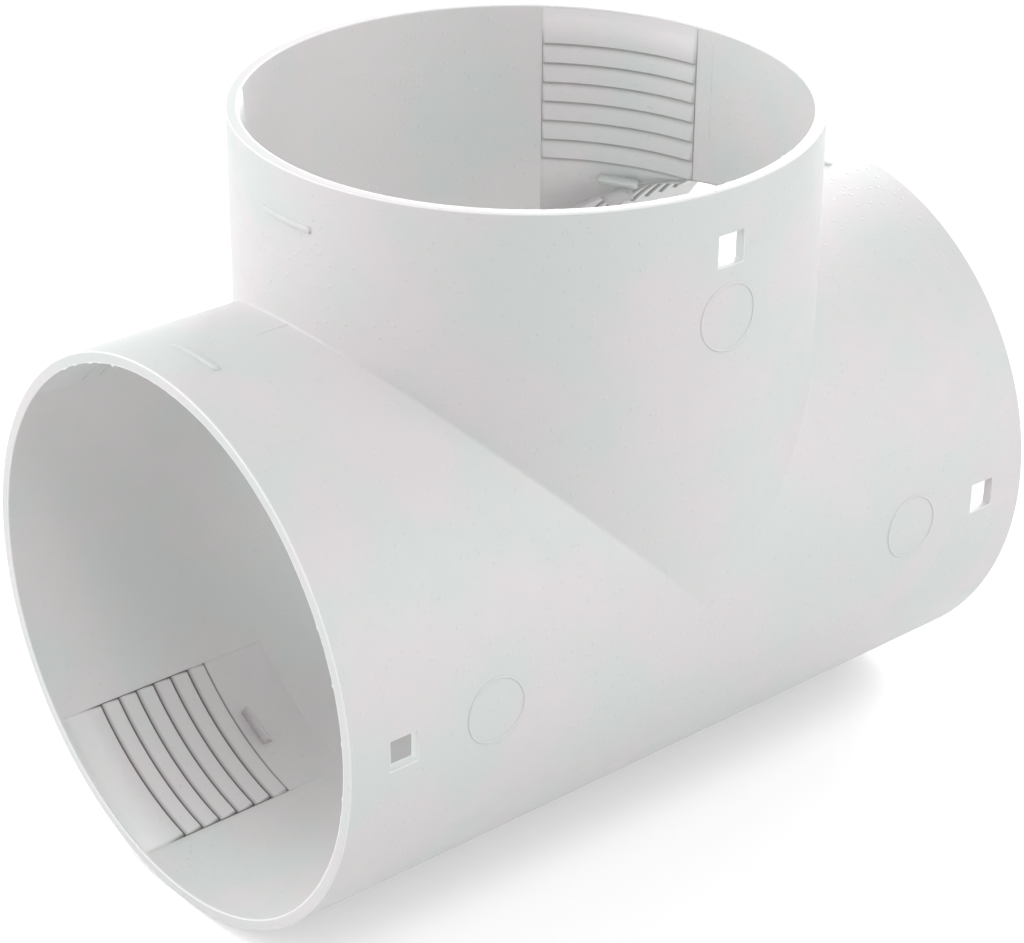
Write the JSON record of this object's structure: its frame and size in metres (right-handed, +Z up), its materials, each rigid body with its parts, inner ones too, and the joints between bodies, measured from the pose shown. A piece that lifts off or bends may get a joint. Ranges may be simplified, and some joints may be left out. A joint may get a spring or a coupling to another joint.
{
  "type": "duct tee",
  "caption": "T-shaped push-fit duct branch: a thin plastic tube with a tube of the same bore standing on it, saw-tooth grip ribs and stops inside each mouth.",
  "frame": {"origin": "where the axis of the run and the axis of the branch cross", "axes": "+X along the run, +Z up the branch, +Y to the back; the square windows face -Y"},
  "size_m": [0.116, 0.0756, 0.0957],
  "materials": {
    "grey_plastic": "fine spark-eroded satin"
  },
  "bodies": {
    "root": {"tee_body": "grey_plastic"}
  },
  "joints": []
}
